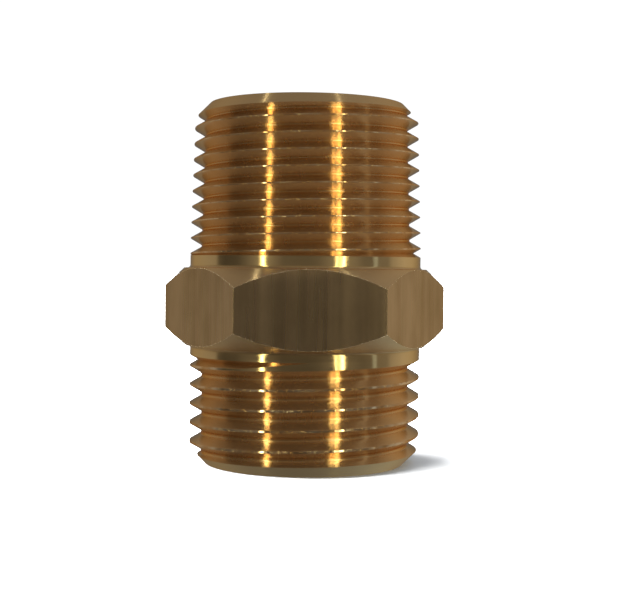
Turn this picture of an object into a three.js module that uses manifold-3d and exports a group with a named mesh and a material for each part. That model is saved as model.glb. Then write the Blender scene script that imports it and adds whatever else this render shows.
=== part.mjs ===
// Hex nipple: a short brass adapter with a male taper pipe thread on one end, a male garden-hose
// thread on the other, and a hexagonal wrench section between them. It is one solid piece, turned
// from hexagonal bar, drilled through and threaded at both ends, and it is built here in that order.
// Millimetres. The origin is the centre of the hose end's face, and +Z runs along the bore to the
// pipe end. Two of the six wrench flats face -Y and +Y.
import * as THREE from 'three';
import { mergeVertices } from 'three/addons/utils/BufferGeometryUtils.js';
import Module from 'manifold-3d';

// Lengths along the axis
const LENGTH = 41.8;
const HEX_BOTTOM = 13.75;
const HEX_TOP = 22.7;
const HOSE_COLLAR_END = 12.6;
const PIPE_COLLAR_END = 24.1;

// Radii and widths
const ACROSS_FLATS = 28.4;
const CORNER_RADIUS = ACROSS_FLATS / Math.sqrt(3);
const COLLAR_RADIUS = 13.45;
const HOSE_FACE_RADIUS = 11.6;
const PIPE_FACE_RADIUS = 11.25;
const BORE_RADIUS = 9.525;
const BORE_CHAMFER = 0.5;

// Chamfer cones that take off the hexagon's corners: where each starts, and its slope from the end plane
const UPPER_SHOULDER_RADIUS = 14.15;
const LOWER_SHOULDER_RADIUS = 14;
const UPPER_CHAMFER_SLOPE = THREE.MathUtils.degToRad(43);
const LOWER_CHAMFER_SLOPE = THREE.MathUtils.degToRad(40);

// Threads: both are right-handed with 60 degree flanks. The taper is the radius lost per millimetre
// towards the pipe end. The phase is the height of a groove's middle at +X, for one of its turns. A
// groove gets shallower until it is gone over `vanishOver` turns, from `vanishFrom` turns past there.
const INCH = 25.4;
const FLANK_SLOPE = Math.tan(THREE.MathUtils.degToRad(30));
const PIPE_THREAD = {
  pitch: INCH / 14,
  depth: 1.3,
  crestFlat: 0.14,
  crestRadius: 13.5,
  crestAt: PIPE_COLLAR_END,
  taper: 1 / 32,
  phase: 24.29,
  vanishFrom: Infinity,
  vanishOver: 1,
};
const HOSE_THREAD = {
  pitch: INCH / 11.5,
  depth: 1.36,
  crestFlat: 0.3,
  crestRadius: COLLAR_RADIUS,
  crestAt: 0,
  taper: 0,
  phase: 0.28,
  vanishFrom: 5.66,
  vanishOver: 0.12,
};

// Facets in one turn, and how far a cutter, or the flank of a groove, carries on past what it cuts
const SEGMENTS = 36;
const RUN_PAST = 1.5;
const FLANK_OVERRUN = 0.04;

const wasm = await Module();
wasm.setup();

// A closed three.js geometry as a manifold-3d solid.
function toSolid(geometry) {
  const plain = geometry.clone();
  plain.deleteAttribute('normal');
  plain.deleteAttribute('uv');
  const merged = mergeVertices(plain, 1e-5);
  return new wasm.Manifold(new wasm.Mesh({
    numProp: 3,
    vertProperties: Float32Array.from(merged.attributes.position.array),
    triVerts: Uint32Array.from(merged.index.array),
  }));
}

// A manifold-3d solid as a three.js geometry.
function toGeometry(solid) {
  const mesh = solid.getMesh();
  const geometry = new THREE.BufferGeometry();
  geometry.setAttribute('position', new THREE.BufferAttribute(mesh.vertProperties, 3));
  geometry.setIndex(new THREE.BufferAttribute(mesh.triVerts, 1));
  return geometry;
}

// A solid of revolution about Z. The outline is a list of [radius, height], counter-clockwise when
// radius runs to the right and height runs up.
function turned(outline) {
  const points = outline.map(([radius, height]) => new THREE.Vector2(radius, height));
  return toSolid(new THREE.LatheGeometry(points, SEGMENTS).rotateX(Math.PI / 2));
}

// Hexagonal bar, longer than the part, with flats facing -Y and +Y.
function hexBar() {
  const outline = new THREE.Shape();
  for (let corner = 0; corner < 6; corner += 1) {
    const angle = corner * Math.PI / 3;
    const x = CORNER_RADIUS * Math.cos(angle);
    const y = CORNER_RADIUS * Math.sin(angle);
    if (corner === 0) outline.moveTo(x, y);
    else outline.lineTo(x, y);
  }
  const bar = new THREE.ExtrudeGeometry(outline, { depth: LENGTH + 2 * RUN_PAST, bevelEnabled: false });
  return toSolid(bar.translate(0, 0, -RUN_PAST));
}

// The outside of the part as the lathe leaves it: both thread blanks with their end chamfers, both
// collars, and the two cones that take off the hexagon's corners.
function turnedBlank() {
  const outside = CORNER_RADIUS + RUN_PAST;
  const lowerRise = (outside - LOWER_SHOULDER_RADIUS) * Math.tan(LOWER_CHAMFER_SLOPE);
  const upperRise = (outside - UPPER_SHOULDER_RADIUS) * Math.tan(UPPER_CHAMFER_SLOPE);
  const { crestRadius, taper } = PIPE_THREAD;
  const taperStart = PIPE_COLLAR_END + (crestRadius - COLLAR_RADIUS) / taper;
  const pipeRadiusAtEnd = crestRadius - (LENGTH - PIPE_COLLAR_END) * taper;
  const pipeChamfer = (pipeRadiusAtEnd - PIPE_FACE_RADIUS) / (1 - taper);
  return turned([
    [0, 0],
    [HOSE_FACE_RADIUS, 0],
    [COLLAR_RADIUS, COLLAR_RADIUS - HOSE_FACE_RADIUS],
    [COLLAR_RADIUS, HEX_BOTTOM],
    [LOWER_SHOULDER_RADIUS, HEX_BOTTOM],
    [outside, HEX_BOTTOM + lowerRise],
    [outside, HEX_TOP - upperRise],
    [UPPER_SHOULDER_RADIUS, HEX_TOP],
    [COLLAR_RADIUS, HEX_TOP],
    [COLLAR_RADIUS, taperStart],
    [PIPE_FACE_RADIUS + pipeChamfer, LENGTH - pipeChamfer],
    [PIPE_FACE_RADIUS, LENGTH],
    [0, LENGTH],
  ]);
}

// The through bore, flared by a small chamfer at each end.
function bore() {
  const flare = BORE_RADIUS + BORE_CHAMFER;
  const wide = flare + RUN_PAST;
  return turned([
    [0, -RUN_PAST],
    [wide, -RUN_PAST],
    [flare, 0],
    [BORE_RADIUS, BORE_CHAMFER],
    [BORE_RADIUS, LENGTH - BORE_CHAMFER],
    [flare, LENGTH],
    [wide, LENGTH + RUN_PAST],
    [0, LENGTH + RUN_PAST],
  ]);
}

// The groove of a thread as a solid: a V-shaped section with a flat root, wound along the helix from
// below `from` to above `to`. Past the crest its sides turn square, so that one turn of the groove
// never meets the next.
function grooveSolid(thread, from, to) {
  const { pitch, depth, crestFlat, crestRadius, crestAt, taper, phase, vanishFrom, vanishOver } = thread;
  const halfMouth = (pitch - crestFlat) / 2;
  const halfRoot = halfMouth - depth * FLANK_SLOPE;
  const wide = halfMouth + FLANK_OVERRUN * FLANK_SLOPE;
  const section = [
    [-depth, -halfRoot],
    [FLANK_OVERRUN, -wide],
    [RUN_PAST, -wide],
    [RUN_PAST, wide],
    [FLANK_OVERRUN, wide],
    [-depth, halfRoot],
  ];
  const firstStep = Math.floor((from - phase) / pitch - 1) * SEGMENTS;
  const lastStep = Math.ceil((to - phase) / pitch + 1) * SEGMENTS;
  const positions = [];
  for (let step = firstStep; step <= lastStep; step += 1) {
    const angle = step * 2 * Math.PI / SEGMENTS;
    const middle = phase + step * pitch / SEGMENTS;
    const gone = THREE.MathUtils.clamp((step / SEGMENTS - vanishFrom) / vanishOver, 0, 1);
    const lift = gone * (depth + FLANK_OVERRUN);
    for (const [out, along] of section) {
      const height = middle + along;
      const radius = crestRadius - (height - crestAt) * taper + out + lift;
      positions.push(radius * Math.cos(angle), radius * Math.sin(angle), height);
    }
  }
  const sides = section.length;
  const rings = lastStep - firstStep;
  const indices = [];
  for (let ring = 0; ring < rings; ring += 1) {
    for (let side = 0; side < sides; side += 1) {
      const a = ring * sides + side;
      const b = ring * sides + (side + 1) % sides;
      indices.push(a, b + sides, b, a, a + sides, b + sides);
    }
  }
  const last = rings * sides;
  for (let side = 1; side < sides - 1; side += 1) {
    indices.push(0, side, side + 1);
    indices.push(last, last + side + 1, last + side);
  }
  const geometry = new THREE.BufferGeometry();
  geometry.setAttribute('position', new THREE.Float32BufferAttribute(positions, 3));
  geometry.setIndex(indices);
  return toSolid(geometry);
}

// The zone that a thread may cut: from past the end face to the collar, where a cone as steep as the
// thread's flanks makes the last groove run out.
function threadZone(endPlane, collarEnd) {
  const outwards = Math.sign(endPlane - collarEnd);
  const inner = BORE_RADIUS;
  const outer = COLLAR_RADIUS + 2 * RUN_PAST;
  const start = endPlane + outwards * RUN_PAST;
  const coneHeight = (radius) => collarEnd + outwards * (COLLAR_RADIUS - radius) * FLANK_SLOPE;
  const outline = [
    [inner, start],
    [inner, coneHeight(inner)],
    [outer, coneHeight(outer)],
    [outer, start],
    [inner, start],
  ];
  return turned(outwards > 0 ? outline : outline.reverse());
}

function nippleBody() {
  const pipeGroove = grooveSolid(PIPE_THREAD, PIPE_COLLAR_END, LENGTH)
    .intersect(threadZone(LENGTH, PIPE_COLLAR_END));
  const hoseGroove = grooveSolid(HOSE_THREAD, 0, HOSE_COLLAR_END)
    .intersect(threadZone(0, HOSE_COLLAR_END));
  const blank = hexBar().intersect(turnedBlank());
  return toGeometry(blank.subtract(bore()).subtract(pipeGroove).subtract(hoseGroove));
}

const brass = new THREE.MeshStandardMaterial({ color: 0x9c7a3c, roughness: 0.28, metalness: 1.0 });
const body = new THREE.Mesh(nippleBody(), brass);
body.name = 'nipple_body';

const nipple = new THREE.Group();
nipple.add(body);

export default nipple;
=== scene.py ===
import math

import bpy
from mathutils import Matrix, Vector


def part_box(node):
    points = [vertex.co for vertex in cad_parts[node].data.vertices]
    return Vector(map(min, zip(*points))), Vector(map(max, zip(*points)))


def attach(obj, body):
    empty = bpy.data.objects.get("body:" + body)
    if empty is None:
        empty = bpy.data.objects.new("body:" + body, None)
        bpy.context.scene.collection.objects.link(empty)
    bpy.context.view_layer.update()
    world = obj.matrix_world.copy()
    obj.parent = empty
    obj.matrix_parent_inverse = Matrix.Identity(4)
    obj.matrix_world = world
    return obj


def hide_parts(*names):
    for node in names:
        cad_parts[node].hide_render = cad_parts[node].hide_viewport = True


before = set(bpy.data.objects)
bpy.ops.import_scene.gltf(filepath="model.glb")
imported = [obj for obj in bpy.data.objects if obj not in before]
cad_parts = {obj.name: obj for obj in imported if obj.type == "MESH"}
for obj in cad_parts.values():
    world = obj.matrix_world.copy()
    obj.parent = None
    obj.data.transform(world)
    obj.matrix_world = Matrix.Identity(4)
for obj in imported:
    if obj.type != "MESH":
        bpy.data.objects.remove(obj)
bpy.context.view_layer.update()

# A brass hex nipple: a hose thread below, a hexagon in the middle and a taper pipe thread above. It is
# modelled in millimetres about its own axis and scaled to metres at the end.
MM = 0.001
NODE = "nipple_body"
low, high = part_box(NODE)
LENGTH = high.z / MM
CORNER_RADIUS = high.x / MM

# Heights of the turned steps, from the hose end's face
HOSE_COLLAR_END = 12.6
HEX_BOTTOM = 13.75
HEX_TOP = 22.7
PIPE_COLLAR_END = 24.1

# Radii of the turned outline and of the bore
COLLAR_RADIUS = 13.45
HOSE_FACE_RADIUS = 11.6
PIPE_FACE_RADIUS = 11.25
UPPER_SHOULDER_RADIUS = 14.15
LOWER_SHOULDER_RADIUS = 14.0
BORE_RADIUS = 9.525

# The rise of the two cones that take off the hexagon's corners, per millimetre of radius
UPPER_CONE_RISE = math.tan(math.radians(43))
LOWER_CONE_RISE = math.tan(math.radians(40))

# Small shapes along the edges
BORE_CHAMFER = 0.5
FILLET = 0.35
CORNER_ROUNDING = 0.05
END_EDGE_BREAK = 0.05
HEX_EDGE_BREAK = 0.09

# Threads: right-handed, with 60 degree flanks. The taper is the radius lost per millimetre towards the
# pipe end. The phase is the height of a groove's middle at +X, for one of its turns. A groove gets
# shallower until it is gone over `vanish_over` turns, from `vanish_from` turns past there.
INCH = 25.4
FLANK_SLOPE = math.tan(math.radians(30))
PIPE_THREAD = {
    "pitch": INCH / 14,
    "depth": 1.3,
    "crest_flat": 0.12,
    "crest_radius": 13.5,
    "crest_at": PIPE_COLLAR_END,
    "taper": 1 / 32,
    "phase": 24.29,
    "vanish_from": math.inf,
    "vanish_over": 1,
}
HOSE_THREAD = {
    "pitch": INCH / 11.5,
    "depth": 1.36,
    "crest_flat": 0.26,
    "crest_radius": COLLAR_RADIUS,
    "crest_at": 0,
    "taper": 0,
    "phase": 0.28,
    "vanish_from": 5.66,
    "vanish_over": 0.12,
}

# A groove's root is an arc, and its mouth flares where the crests' edges are broken
ROOT_ARC = math.radians(60)
CREST_BREAK = 0.02
CREST_BREAK_SLOPE = math.tan(math.radians(60))
FLARE = 1.5 * CREST_BREAK

# Steps in a full turn and in the small arcs, and the angle from which an edge is shaded sharp
STEPS = 240
ROOT_STEPS = 6
FILLET_STEPS = 8
CORNER_STEPS = 4
EDGE_BREAK_STEPS = 2
SHARP_FROM = math.radians(14)
BROKEN_FROM = math.radians(24)

# How far a cutter runs past what it cuts, and how far shapes that meet reach into each other
RUN_PAST = 1.5
OVERLAP = 1

# Places in the list of brass finishes
TURNED, FACED, DRAWN, THREADED, ROOT, CREST, BORED, EDGE = range(8)

# Where a finish ends: the root's height up the flank, the plain land beside the hose collar, and how
# far up or down a turned surface has to look to count as a cone or an end face
ROOT_FINISH = 0.1
LAND = 1
FACED_FROM = 0.3

# Patterns: the usual range of a noise, how much faster rings come across the axis than along it, and
# the direction of the streaks that turning leaves, in turns
NOISE_RANGE = (0.3, 0.7)
RINGS_ACROSS = 1.7
TURNING_DIRECTION = 0.25


# ---------------------------------------------------------------- mesh building


def new_object(name, verts, faces, finishes):
    mesh = bpy.data.meshes.new(name)
    mesh.from_pydata(verts, [], faces)
    mesh.polygons.foreach_set("material_index", finishes)
    for material in FINISHES:
        mesh.materials.append(material)
    mesh.update()
    piece = bpy.data.objects.new(name, mesh)
    bpy.context.scene.collection.objects.link(piece)
    return piece


def bake(piece):
    """Turns a piece's modifiers into its mesh."""
    graph = bpy.context.evaluated_depsgraph_get()
    mesh = bpy.data.meshes.new_from_object(piece.evaluated_get(graph))
    piece.modifiers.clear()
    piece.data = mesh


def combine(piece, operation, tool):
    """Joins tool to piece, cuts it away or keeps what they share, and removes tool."""
    modifier = piece.modifiers.new(operation, "BOOLEAN")
    modifier.operation = operation
    modifier.solver = "MANIFOLD"
    modifier.object = tool
    bake(piece)
    bpy.data.objects.remove(tool)


def turned_points(outline):
    """The points (radius, height) of an outline, at every step round the axis."""
    points = []
    for step in range(STEPS):
        angle = 2 * math.pi * step / STEPS
        points += [(r * math.cos(angle), r * math.sin(angle), z) for r, z in outline]
    return points


def quads(rings, sides, close_rings=True, close_sides=True):
    """Quads between successive rings of points. The row of rings may close, and so may each ring."""
    faces = []
    for ring in range(rings if close_rings else rings - 1):
        here = ring * sides
        there = (ring + 1) % rings * sides
        for side in range(sides if close_sides else sides - 1):
            after = (side + 1) % sides
            faces.append((here + side, there + side, there + after, here + after))
    return faces


def lathe(name, outline, finish):
    """A solid of revolution with flat ends. The outline lists (radius, height) from the bottom up."""
    count = len(outline)
    faces = quads(STEPS, count, close_sides=False)
    faces.append([step * count for step in reversed(range(STEPS))])
    faces.append([step * count + count - 1 for step in range(STEPS)])
    return new_object(name, turned_points(outline), faces, [finish] * len(faces))


def lathe_ring(name, outline, finish):
    """A closed ring of revolution. The outline lists (radius, height), counter-clockwise."""
    faces = quads(STEPS, len(outline))
    return new_object(name, turned_points(outline), faces, [finish] * len(faces))


def arc(centre, radius, start, end, steps):
    """Points on an arc, with angles in degrees from the first axis."""
    points = []
    for step in range(steps + 1):
        angle = math.radians(start + (end - start) * step / steps)
        points.append((centre[0] + radius * math.cos(angle), centre[1] + radius * math.sin(angle)))
    return points


# ---------------------------------------------------------------- the fitting


def fillet(height, away):
    """The outline between a collar and a face of the hexagon that looks up (away = 1) or down (-1)."""
    centre = (COLLAR_RADIUS + FILLET, height + away * FILLET)
    curve = arc(centre, FILLET, 180, 180 + away * 90, FILLET_STEPS)
    inside = (COLLAR_RADIUS + FILLET, height - away * OVERLAP)
    points = [*curve, inside]
    return points[::-away]


def thread_blanks():
    """The turned cylinder that both threads are cut on, with its end chamfers and both collars."""
    taper = PIPE_THREAD["taper"]
    crest = PIPE_THREAD["crest_radius"]
    taper_start = PIPE_COLLAR_END + (crest - COLLAR_RADIUS) / taper
    end_radius = crest - (LENGTH - PIPE_COLLAR_END) * taper
    chamfer = (end_radius - PIPE_FACE_RADIUS) / (1 - taper)
    outline = [
        (HOSE_FACE_RADIUS - END_EDGE_BREAK, 0),
        (HOSE_FACE_RADIUS + END_EDGE_BREAK / 2, END_EDGE_BREAK / 2),
        (COLLAR_RADIUS, COLLAR_RADIUS - HOSE_FACE_RADIUS),
        (COLLAR_RADIUS, HOSE_COLLAR_END),
        *fillet(HEX_BOTTOM, -1),
        *fillet(HEX_TOP, 1),
        (COLLAR_RADIUS, PIPE_COLLAR_END),
        (COLLAR_RADIUS, taper_start),
        (PIPE_FACE_RADIUS + chamfer, LENGTH - chamfer),
        (PIPE_FACE_RADIUS + END_EDGE_BREAK / 2, LENGTH - END_EDGE_BREAK / 2),
        (PIPE_FACE_RADIUS - END_EDGE_BREAK, LENGTH),
    ]
    return lathe("blank", outline, TURNED)


def hex_bar():
    """Drawn hexagonal bar with slightly rounded corners, one of them at +X."""
    outline = []
    inset = CORNER_ROUNDING / math.cos(math.radians(30))
    for corner in range(6):
        middle = 60 * corner
        centre_radius = CORNER_RADIUS - inset
        centre = (
            centre_radius * math.cos(math.radians(middle)),
            centre_radius * math.sin(math.radians(middle)),
        )
        outline += arc(centre, CORNER_ROUNDING, middle - 30, middle + 30, CORNER_STEPS)
    count = len(outline)
    verts = [(x, y, HEX_BOTTOM - RUN_PAST) for x, y in outline]
    verts += [(x, y, HEX_TOP + RUN_PAST) for x, y in outline]
    faces = []
    for side in range(count):
        after = (side + 1) % count
        faces.append((side, after, count + after, count + side))
    faces += [list(reversed(range(count))), list(range(count, 2 * count))]
    return new_object("bar", verts, faces, [DRAWN] * len(faces))


def hexagon():
    """The wrench section: hexagonal bar whose corners two cones take off, with broken edges."""
    bar = hex_bar()
    outside = CORNER_RADIUS + OVERLAP
    cones = [
        (LOWER_SHOULDER_RADIUS, HEX_BOTTOM),
        (outside, HEX_BOTTOM + (outside - LOWER_SHOULDER_RADIUS) * LOWER_CONE_RISE),
        (outside, HEX_TOP - (outside - UPPER_SHOULDER_RADIUS) * UPPER_CONE_RISE),
        (UPPER_SHOULDER_RADIUS, HEX_TOP),
    ]
    combine(bar, "INTERSECT", lathe("cones", cones, FACED))
    bevel = bar.modifiers.new("bevel", "BEVEL")
    bevel.limit_method = "ANGLE"
    bevel.angle_limit = BROKEN_FROM
    bevel.width = HEX_EDGE_BREAK
    bevel.segments = EDGE_BREAK_STEPS
    bevel.material = EDGE
    bake(bar)
    return bar


def groove_section(thread):
    """The section of a thread's groove: points (out from the crest, along the axis), all round it."""
    half_mouth = (thread["pitch"] - thread["crest_flat"]) / 2
    apex = half_mouth / FLANK_SLOPE
    root_radius = apex - thread["depth"]
    half = []
    for step in range(ROOT_STEPS + 1):
        turn = ROOT_ARC * step / ROOT_STEPS
        half.append((root_radius * (2 - math.cos(turn)) - apex, root_radius * math.sin(turn)))
    flank_end = half_mouth - CREST_BREAK * FLANK_SLOPE
    mouth = flank_end + FLARE * CREST_BREAK_SLOPE
    half += [(-CREST_BREAK, flank_end), (FLARE - CREST_BREAK, mouth), (RUN_PAST, mouth)]
    return [(out, -along) for out, along in half] + half[:0:-1]


def section_finishes(section, depth):
    """The finish of each side of a groove's section: its root, its flanks and the crests' edges."""
    finishes = []
    for side, (out, _) in enumerate(section):
        after = section[(side + 1) % len(section)][0]
        if max(out, after) < ROOT_FINISH - depth:
            finishes.append(ROOT)
        elif min(out, after) >= -CREST_BREAK:
            finishes.append(CREST)
        else:
            finishes.append(THREADED)
    return finishes


def groove(thread, from_height, to_height):
    """The helical groove of a thread as a solid, with a round root and broken crest edges."""
    section = groove_section(thread)
    pitch = thread["pitch"]
    first = math.floor((from_height - thread["phase"]) / pitch - 1) * STEPS
    last = math.ceil((to_height - thread["phase"]) / pitch + 1) * STEPS
    verts = []
    for step in range(first, last + 1):
        angle = 2 * math.pi * step / STEPS
        middle = thread["phase"] + step * pitch / STEPS
        gone = (step / STEPS - thread["vanish_from"]) / thread["vanish_over"]
        lift = min(max(gone, 0), 1) * (thread["depth"] + CREST_BREAK)
        for out, along in section:
            height = middle + along
            crest = thread["crest_radius"] - (height - thread["crest_at"]) * thread["taper"]
            radius = crest + out + lift
            verts.append((radius * math.cos(angle), radius * math.sin(angle), height))
    rings = last - first + 1
    sides = len(section)
    faces = quads(rings, sides, close_rings=False)
    faces.append(list(range(sides)))
    faces.append([(rings - 1) * sides + side for side in reversed(range(sides))])
    finishes = section_finishes(section, thread["depth"]) * (rings - 1) + [THREADED] * 2
    return new_object("groove", verts, faces, finishes)


def thread_zone(end_plane, collar_end):
    """The ring-shaped zone that a thread may cut, ending in a run-out cone at the collar."""
    outwards = math.copysign(1, end_plane - collar_end)
    start = end_plane + outwards * RUN_PAST
    inner = BORE_RADIUS
    outer = COLLAR_RADIUS + 2 * RUN_PAST
    outline = [
        (inner, start),
        (inner, collar_end + outwards * (COLLAR_RADIUS - inner) * FLANK_SLOPE),
        (outer, collar_end + outwards * (COLLAR_RADIUS - outer) * FLANK_SLOPE),
        (outer, start),
    ]
    if outwards < 0:
        outline.reverse()
    return lathe_ring("zone", outline, THREADED)


def bore():
    """The waterway, flared by a small chamfer at each end."""
    flare = BORE_RADIUS + BORE_CHAMFER
    outline = [
        (flare + RUN_PAST, -RUN_PAST),
        (flare, 0),
        (BORE_RADIUS, BORE_CHAMFER),
        (BORE_RADIUS, LENGTH - BORE_CHAMFER),
        (flare, LENGTH),
        (flare + RUN_PAST, LENGTH + RUN_PAST),
    ]
    return lathe("bore", outline, BORED)


def sort_turned(mesh):
    """Gives the thread crests, and the cones and faces, their own finishes among the turned surfaces."""
    for face in mesh.polygons:
        if face.material_index != TURNED:
            continue
        height = face.center.z
        if abs(face.normal.z) > FACED_FROM:
            face.material_index = FACED
        elif height < HOSE_COLLAR_END - LAND or height > PIPE_COLLAR_END:
            face.material_index = CREST


def nipple():
    piece = thread_blanks()
    combine(piece, "UNION", hexagon())
    for thread, end, collar in (
        (PIPE_THREAD, LENGTH, PIPE_COLLAR_END),
        (HOSE_THREAD, 0, HOSE_COLLAR_END),
    ):
        cutter = groove(thread, min(end, collar), max(end, collar))
        combine(cutter, "INTERSECT", thread_zone(end, collar))
        combine(piece, "DIFFERENCE", cutter)
    combine(piece, "DIFFERENCE", bore())
    piece.name = piece.data.name = "machined_nipple"
    sort_turned(piece.data)
    piece.data.transform(Matrix.Scale(MM, 4))
    for face in piece.data.polygons:
        face.use_smooth = face.material_index != DRAWN
    piece.data.set_sharp_from_angle(angle=SHARP_FROM)
    return piece


# ---------------------------------------------------------------- finishes


class Nodes:
    """A node tree, with short ways to add the nodes that the finishes and the studio are built from."""

    def __init__(self, tree):
        self.tree = tree

    def node(self, kind, inputs=None, **settings):
        node = self.tree.nodes.new(kind)
        for name, value in settings.items():
            setattr(node, name, value)
        for name, value in (inputs or {}).items():
            if isinstance(value, bpy.types.NodeSocket):
                self.tree.links.new(value, node.inputs[name])
            else:
                node.inputs[name].default_value = value
        return node

    def math(self, operation, a, b):
        return self.node("ShaderNodeMath", operation=operation, inputs={0: a, 1: b}).outputs[0]

    def vector(self, operation, inputs, output=0):
        return self.node("ShaderNodeVectorMath", operation=operation, inputs=inputs).outputs[output]

    def scale(self, vector, factor):
        return self.vector("SCALE", {0: vector, "Scale": factor})

    def dot(self, a, b):
        return self.vector("DOT_PRODUCT", {0: a, 1: b}, output="Value")

    def split(self, vector):
        return self.node("ShaderNodeSeparateXYZ", inputs={0: vector}).outputs

    def remap(self, value, from_low, from_high, to_low=0, to_high=1, smooth=False):
        """A value taken from one range to another and held within it."""
        inputs = {
            "Value": value,
            "From Min": from_low,
            "From Max": from_high,
            "To Min": to_low,
            "To Max": to_high,
        }
        curve = "SMOOTHSTEP" if smooth else "LINEAR"
        return self.node("ShaderNodeMapRange", interpolation_type=curve, inputs=inputs).outputs[0]


class Finish(Nodes):
    """A brass material and the patterns that its detail is built from."""

    def __init__(self, name, edge=(0.75, 0.62, 0.45), anisotropy=0.0, metallic=1.0):
        self.material = bpy.data.materials.new(name)
        self.material.use_nodes = True
        super().__init__(self.material.node_tree)
        self.shader = self.tree.nodes["Principled BSDF"]
        self.shader.inputs["Metallic"].default_value = metallic
        self.shader.inputs["Specular Tint"].default_value = (*edge, 1)
        self.shader.inputs["Anisotropic"].default_value = anisotropy
        self.shader.inputs["Anisotropic Rotation"].default_value = TURNING_DIRECTION
        self.place = self.scale(self.node("ShaderNodeTexCoord").outputs["Object"], 1 / MM)
        self.height = self.split(self.place)[2]
        flat = self.vector("MULTIPLY", {0: self.place, 1: (1, 1, 0)})
        self.radius = self.math("SQRT", self.dot(flat, flat), 0)
        self.around = self.vector("NORMALIZE", {0: flat})

    def noise(self, vector, scale=1.0, detail=2.0, roughness=0.5):
        inputs = {"Vector": vector, "Scale": scale, "Detail": detail, "Roughness": roughness}
        return self.node("ShaderNodeTexNoise", inputs=inputs).outputs["Fac"]

    def turning(self, per_mm, around=1.5):
        """Coordinates that vary fast along the turned outline and slowly round the axis."""
        outline = self.math("ADD", self.math("MULTIPLY", self.radius, RINGS_ACROSS), self.height)
        x, y, _ = self.split(self.scale(self.around, around))
        along = self.math("MULTIPLY", outline, per_mm)
        return self.node("ShaderNodeCombineXYZ", inputs={0: x, 1: y, 2: along}).outputs[0]

    def stretched(self, across, along):
        """Coordinates that vary at one rate across the bar and at another along it."""
        return self.vector("MULTIPLY", {0: self.place, 1: (across, across, along)})

    def tint(self, factor, dark, light):
        """Base colour between two tones."""
        ramp = self.node("ShaderNodeMix", data_type="RGBA", inputs={"Factor": factor})
        ramp.inputs[6].default_value = (*dark, 1)
        ramp.inputs[7].default_value = (*light, 1)
        self.tree.links.new(ramp.outputs[2], self.shader.inputs["Base Color"])

    def rough(self, factor, smooth, dull):
        """Roughness between two values."""
        roughness = self.remap(factor, *NOISE_RANGE, smooth, dull)
        self.tree.links.new(roughness, self.shader.inputs["Roughness"])

    def bump(self, height, microns):
        """Adds a relief on top of any earlier one."""
        before = self.shader.inputs["Normal"].links
        inputs = {"Height": height, "Distance": microns * 1e-6, "Strength": 1.0}
        if before:
            inputs["Normal"] = before[0].from_socket
        relief = self.node("ShaderNodeBump", inputs=inputs).outputs[0]
        self.tree.links.new(relief, self.shader.inputs["Normal"])


def turned_brass():
    """Collars: nearly mirror-bright, with very fine rings and faint clouding."""
    finish = Finish("turned_brass", edge=(0.85, 0.7, 0.5), anisotropy=0.6)
    clouds = finish.noise(finish.place, scale=0.35, detail=3)
    finish.tint(clouds, (0.84, 0.55, 0.23), (0.92, 0.62, 0.28))
    finish.rough(finish.noise(finish.turning(2.5)), 0.1, 0.16)
    finish.bump(finish.noise(finish.turning(7), detail=3), 0.6)
    return finish.material


def faced_brass():
    """Cones, chamfers and end faces: satin, with the rings that the tool's feed leaves."""
    finish = Finish("faced_brass", edge=(0.85, 0.7, 0.5), anisotropy=1.0)
    rings = finish.noise(finish.turning(4), detail=4, roughness=0.6)
    finish.tint(rings, (0.7, 0.49, 0.26), (0.86, 0.63, 0.36))
    finish.rough(rings, 0.2, 0.27)
    finish.bump(rings, 5)
    return finish.material


def drawn_brass():
    """Drawn-bar wrench flats: dull, with fine grain, streaks along the bar and uneven tarnish."""
    finish = Finish("drawn_brass", edge=(0.7, 0.55, 0.4))
    streaks = finish.noise(finish.stretched(0.9, 0.03), detail=1)
    blotches = finish.noise(finish.stretched(0.3, 0.15), detail=3)
    some_streaks = finish.math("MULTIPLY", streaks, 0.4)
    some_blotches = finish.math("MULTIPLY", blotches, 0.6)
    tarnish = finish.remap(finish.math("ADD", some_streaks, some_blotches), 0.34, 0.66)
    finish.tint(tarnish, (0.51, 0.335, 0.165), (0.7, 0.47, 0.245))
    finish.rough(streaks, 0.25, 0.32)
    finish.bump(finish.noise(finish.stretched(9, 0.25), detail=3), 0.5)
    finish.bump(finish.noise(finish.stretched(5, 3.5), detail=3, roughness=0.7), 5)
    return finish.material


def thread_brass_painted_sheen():
    """Thread flanks: bright, with faint tool lines that run along the thread, and a painted sheen: their
    brass is paler and lighter than the collars'.
    """
    finish = Finish("thread_brass_painted_sheen", edge=(0.75, 0.6, 0.42), anisotropy=1.0)
    clouds = finish.noise(finish.place, scale=0.5, detail=3)
    # Painted sheen: paler, lighter brass than the collars', standing in for the light the flanks pass to
    # each other.
    finish.tint(clouds, (0.91, 0.67, 0.42), (0.97, 0.73, 0.47))
    finish.rough(clouds, 0.14, 0.19)
    finish.bump(finish.noise(finish.turning(5, around=2)), 0.3)
    return finish.material


def root_brass_painted_shade():
    """Thread roots: a soft line of painted shade, brass darker and deeper golden than the flanks' for
    the light that bounces in the groove.
    """
    finish = Finish("root_brass_painted_shade", edge=(0.8, 0.5, 0.28), anisotropy=0.95)
    clouds = finish.noise(finish.place, scale=0.8, detail=3)
    # Painted shade: darker, more saturated brass than the flanks', standing in for light bounced within
    # the groove's bottom.
    finish.tint(clouds, (0.84, 0.48, 0.19), (0.92, 0.56, 0.25))
    finish.rough(clouds, 0.22, 0.3)
    return finish.material


def crest_brass():
    """Thread crests: worn bright, with sparse nicks and burrs that catch the light."""
    finish = Finish("crest_brass", edge=(0.85, 0.65, 0.45), anisotropy=0.8)
    nicks = finish.noise(finish.place, scale=3.5, detail=4, roughness=0.7)
    wear = finish.noise(finish.place, scale=0.45)
    finish.tint(finish.remap(wear, 0.4, 0.6), (0.8, 0.45, 0.19), (1.0, 0.7, 0.4))
    finish.rough(nicks, 0.08, 0.16)
    finish.bump(finish.remap(nicks, 0.56, 0.7), 25)
    return finish.material


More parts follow.
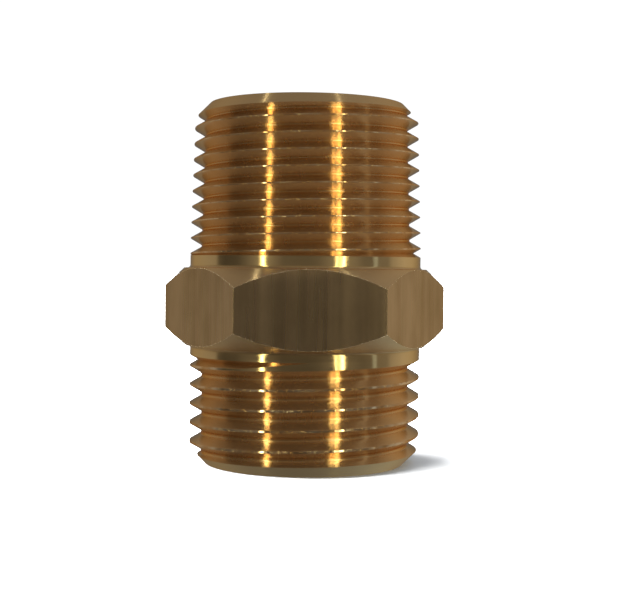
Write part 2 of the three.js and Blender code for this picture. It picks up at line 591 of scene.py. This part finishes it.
def bore_brass():
    """Drilled bore: coarser rings and a duller, darker skin."""
    finish = Finish("bore_brass", anisotropy=0.6)
    rings = finish.noise(finish.turning(3, around=2), detail=4)
    finish.tint(rings, (0.6, 0.38, 0.17), (0.8, 0.54, 0.27))
    finish.rough(rings, 0.24, 0.38)
    finish.bump(rings, 5)
    return finish.material


def edge_brass_wear_and_painted_sheen():
    """The hexagon's broken edges: pale, partly from rubbed wear and partly a painted sheen for the light
    lines their rounding catches, with small nicks.
    """
    finish = Finish("edge_brass_wear_and_painted_sheen", metallic=0.85)
    wear = finish.noise(finish.place, scale=1.5, detail=4, roughness=0.7)
    # The pale tone is partly rubbed wear and partly a painted sheen that stands in for light caught
    # along the rounded edges.
    finish.tint(finish.remap(wear, 0.35, 0.65), (0.5, 0.34, 0.18), (0.92, 0.74, 0.48))
    finish.rough(wear, 0.25, 0.4)
    finish.bump(wear, 20)
    return finish.material


FINISHES = [
    turned_brass(),
    faced_brass(),
    drawn_brass(),
    thread_brass_painted_sheen(),
    root_brass_painted_shade(),
    crest_brass(),
    bore_brass(),
    edge_brass_wear_and_painted_sheen(),
]


# ---------------------------------------------------------------- studio


# What the brass reflects level with itself: (azimuth in degrees from the camera's side, brightness)
SURROUNDINGS = (
    (-180, 0.12),
    (-145, 0.35),
    (-118, 0.31),
    (-101, 0.27),
    (-96, 0.09),
    (-88, 0.06),
    (-72, 0.07),
    (-63, 0.12),
    (-52, 0.2),
    (-35, 0.2),
    (-24, 0.11),
    (0, 0.1),
    (10, 0.12),
    (20, 0.18),
    (46, 0.2),
    (56, 0.14),
    (65, 0.13),
    (76, 0.17),
    (86, 0.18),
    (92, 0.3),
    (112, 0.43),
    (128, 0.43),
    (150, 0.29),
    (180, 0.12),
)

# What it reflects from steeper directions: a room that is brighter behind the object, to the right and
# above, and a table that glows behind the object, more so to the right
ROOM_COLOR = (1.1, 1, 0.88)
ROOM_LEVEL = 0.145
ROOM_BEHIND = 0.25
ROOM_SLOPE = (0.045, 0, 0.05)
FADE_BEHIND = 1.35
TABLE_COLOR = (0.5, 1, 1.4)
TABLE_LEVEL = 0.29
TABLE_TO_THE_RIGHT = 0.33

# Where the table's front edge shades what is reflected, and how much, and from where to where the
# level surroundings give way to the room and the table. All are parts of a direction of length 1.
EDGE_HEIGHT = (-0.04, -0.08)
EDGE_FRONT = (-0.3, -0.7)
EDGE_SHADE = 0.4
STEEP = (0.03, 0.35)

# What lights the floor, and what the camera sees
FILL_COLOR = (0.9, 0.97, 1.08, 1)
FILL_STRENGTH = 0.58
BACKDROP_COLOR = (1, 1, 1, 1)
BACKDROP_STRENGTH = 1.05

# Lamps, in metres
KEY_STRENGTH = 18
KEY_SPREAD = math.radians(70)
KEY_TURN = (math.radians(1), math.radians(-36), 0)
LAMP_DISTANCE = 0.6
STRIP_HEIGHT = 0.8
STRIP_CENTRE = 0.02
STRIP_COLOR = (1, 1.06, 0.72)
WINDOW_COLOR = (0.7, 1, 1.3)
OVERHEAD_SIZE = 0.014
OVERHEAD_COLOR = (1, 1, 0.8)

FLOOR_SIZE = 3.0


def level_surroundings(nodes, direction):
    """The ring of flags and backdrops round the object, as a colour by azimuth."""
    inputs = {"Vector": direction, "Rotation": (0, 0, math.pi / 2)}
    turned = nodes.node("ShaderNodeMapping", inputs=inputs)
    azimuth = nodes.node("ShaderNodeTexGradient", gradient_type="RADIAL", inputs={0: turned.outputs[0]})
    ramp = nodes.node("ShaderNodeValToRGB", inputs={0: azimuth.outputs["Fac"]})
    stops = ramp.color_ramp.elements
    while len(stops) < len(SURROUNDINGS):
        stops.new(0.5)
    for stop, (angle, value) in zip(stops, SURROUNDINGS):
        stop.position = 0.5 + angle / 360
        stop.color = (value, value, value, 1)
    return ramp.outputs["Color"]


def room_and_table(nodes, direction):
    """The light from above and from below, as a colour by direction."""
    x, y, z = nodes.split(direction)
    faded = nodes.math("SUBTRACT", FADE_BEHIND, y)
    behind = nodes.math("MAXIMUM", nodes.math("MINIMUM", y, faded), 0)
    level = nodes.math("ADD", nodes.math("MULTIPLY", behind, ROOM_BEHIND), ROOM_LEVEL)
    room = nodes.math("ADD", nodes.dot(direction, ROOM_SLOPE), level)
    below = nodes.math("MAXIMUM", nodes.math("MULTIPLY", z, -1), 0)
    to_the_right = nodes.math("ADD", nodes.math("MULTIPLY", x, TABLE_TO_THE_RIGHT), TABLE_LEVEL)
    table = nodes.math("MULTIPLY", nodes.math("MULTIPLY", below, behind), to_the_right)
    return nodes.vector("ADD", {0: nodes.scale(ROOM_COLOR, room), 1: nodes.scale(TABLE_COLOR, table)})


def table_edge(nodes, direction):
    """How much is left of a reflection where the front of the table is in its way."""
    _, y, z = nodes.split(direction)
    low_down = nodes.remap(z, *EDGE_HEIGHT, smooth=True)
    in_front = nodes.remap(y, *EDGE_FRONT, 0, EDGE_SHADE, smooth=True)
    return nodes.math("SUBTRACT", 1, nodes.math("MULTIPLY", low_down, in_front))


def studio():
    """White for the camera, a soft fill for the floor, and a dim room for the brass to reflect."""
    world = bpy.data.worlds.new("studio")
    bpy.context.scene.world = world
    world.use_nodes = True
    nodes = Nodes(world.node_tree)
    world.node_tree.nodes.clear()
    direction = nodes.node("ShaderNodeTexCoord").outputs["Generated"]
    height = nodes.split(direction)[2]
    steepness = nodes.remap(nodes.math("ABSOLUTE", height, 0), *STEEP, smooth=True)
    inputs = {
        "Factor": steepness,
        4: level_surroundings(nodes, direction),
        5: room_and_table(nodes, direction),
    }
    blend = nodes.node("ShaderNodeMix", data_type="VECTOR", inputs=inputs)
    inputs = {"Color": blend.outputs[1], "Strength": table_edge(nodes, direction)}
    reflected = nodes.node("ShaderNodeBackground", inputs=inputs)
    inputs = {"Color": BACKDROP_COLOR, "Strength": BACKDROP_STRENGTH}
    backdrop = nodes.node("ShaderNodeBackground", inputs=inputs)
    inputs = {"Color": FILL_COLOR, "Strength": FILL_STRENGTH}
    fill = nodes.node("ShaderNodeBackground", inputs=inputs)
    path = nodes.node("ShaderNodeLightPath")
    inputs = {0: path.outputs["Is Glossy Ray"], 1: fill.outputs[0], 2: reflected.outputs[0]}
    lighting = nodes.node("ShaderNodeMixShader", inputs=inputs)
    inputs = {0: path.outputs["Is Camera Ray"], 1: lighting.outputs[0], 2: backdrop.outputs[0]}
    mix = nodes.node("ShaderNodeMixShader", inputs=inputs)
    nodes.node("ShaderNodeOutputWorld", inputs={"Surface": mix.outputs[0]})


def lamp(name, light):
    """Adds a light to the scene as an object."""
    holder = bpy.data.objects.new(name, light)
    bpy.context.scene.collection.objects.link(holder)
    return holder


def key_light():
    """A very soft light from high on the left, for the floor's shadow only."""
    light = bpy.data.lights.new("key", "SUN")
    light.energy = KEY_STRENGTH
    light.angle = KEY_SPREAD
    key = lamp("key", light)
    key.rotation_euler = KEY_TURN
    key.visible_glossy = False


def strip_light(name, azimuth, width, power, height=STRIP_HEIGHT, color=STRIP_COLOR):
    """A tall, narrow soft box, at an azimuth in degrees from the camera's side of the object."""
    light = bpy.data.lights.new(name, "AREA")
    light.shape = "RECTANGLE"
    light.size = width
    light.size_y = height
    light.energy = power
    light.color = color
    strip = lamp(name, light)
    turn = math.radians(azimuth)
    strip.location = (LAMP_DISTANCE * math.sin(turn), -LAMP_DISTANCE * math.cos(turn), STRIP_CENTRE)
    strip.rotation_euler = (math.radians(90), 0, turn)


def overhead_light(name, direction, power):
    """A small soft box above the object, facing it, that the cones and chamfers reflect."""
    light = bpy.data.lights.new(name, "AREA")
    light.size = OVERHEAD_SIZE
    light.energy = power
    light.color = OVERHEAD_COLOR
    overhead = lamp(name, light)
    away = Vector(direction).normalized()
    overhead.location = away * LAMP_DISTANCE
    overhead.rotation_euler = away.to_track_quat("Z", "Y").to_euler()


def floor():
    """A plain pale surface that the brass doesn't reflect."""
    size = FLOOR_SIZE
    corners = [(-size, -size), (size, -size), (size, size), (-size, size)]
    mesh = bpy.data.meshes.new("floor")
    mesh.from_pydata([(x, y, low.z) for x, y in corners], [], [(0, 1, 2, 3)])
    ground = bpy.data.objects.new("floor", mesh)
    material = bpy.data.materials.new("floor")
    material.use_nodes = True
    shader = material.node_tree.nodes["Principled BSDF"]
    shader.inputs["Base Color"].default_value = (0.95, 0.95, 0.95, 1)
    shader.inputs["Roughness"].default_value = 0.9
    shader.inputs["Specular IOR Level"].default_value = 0
    mesh.materials.append(material)
    bpy.context.scene.collection.objects.link(ground)
    ground.visible_glossy = False


def camera():
    """Product-shot camera: almost level, a little to the left, three and a half lengths away."""
    data = bpy.data.cameras.new("camera")
    data.sensor_width = 36
    data.lens = 72.1
    data.clip_start = 0.01
    azimuth = math.radians(2.3)
    distance = 0.1466
    height = 0.0232
    view = bpy.data.objects.new("camera", data)
    view.location = (-distance * math.sin(azimuth), -distance * math.cos(azimuth), height)
    pitch = math.radians(90 - 1.5)
    yaw = -azimuth - math.radians(0.29)
    roll = math.radians(0.6)
    view.matrix_world = (
        Matrix.Translation(view.location)
        @ Matrix.Rotation(yaw, 4, "Z")
        @ Matrix.Rotation(pitch, 4, "X")
        @ Matrix.Rotation(roll, 4, "Z")
    )
    bpy.context.scene.collection.objects.link(view)
    bpy.context.scene.camera = view


bpy.context.scene.view_settings.view_transform = "Standard"
camera()
body = nipple()
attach(body, "root")
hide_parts(NODE)
floor()
studio()
strip_light("strip_left", azimuth=-43.6, width=0.036, power=0.45)
strip_light("halo_left", azimuth=-43.8, width=0.056, power=0.12)
strip_light("strip_right", azimuth=34.6, width=0.036, power=0.45)
strip_light("halo_right", azimuth=30.9, width=0.042, power=0.12)
strip_light("strip_inner", azimuth=27.6, width=0.018, power=0.16)
strip_light("window", azimuth=69.5, width=0.05, power=0.1, height=2.6, color=WINDOW_COLOR)
overhead_light("overhead_left", direction=(-0.33, 0.19, 0.925), power=0.016)
overhead_light("overhead_right", direction=(0.272, 0.08, 0.959), power=0.0105)
key_light()
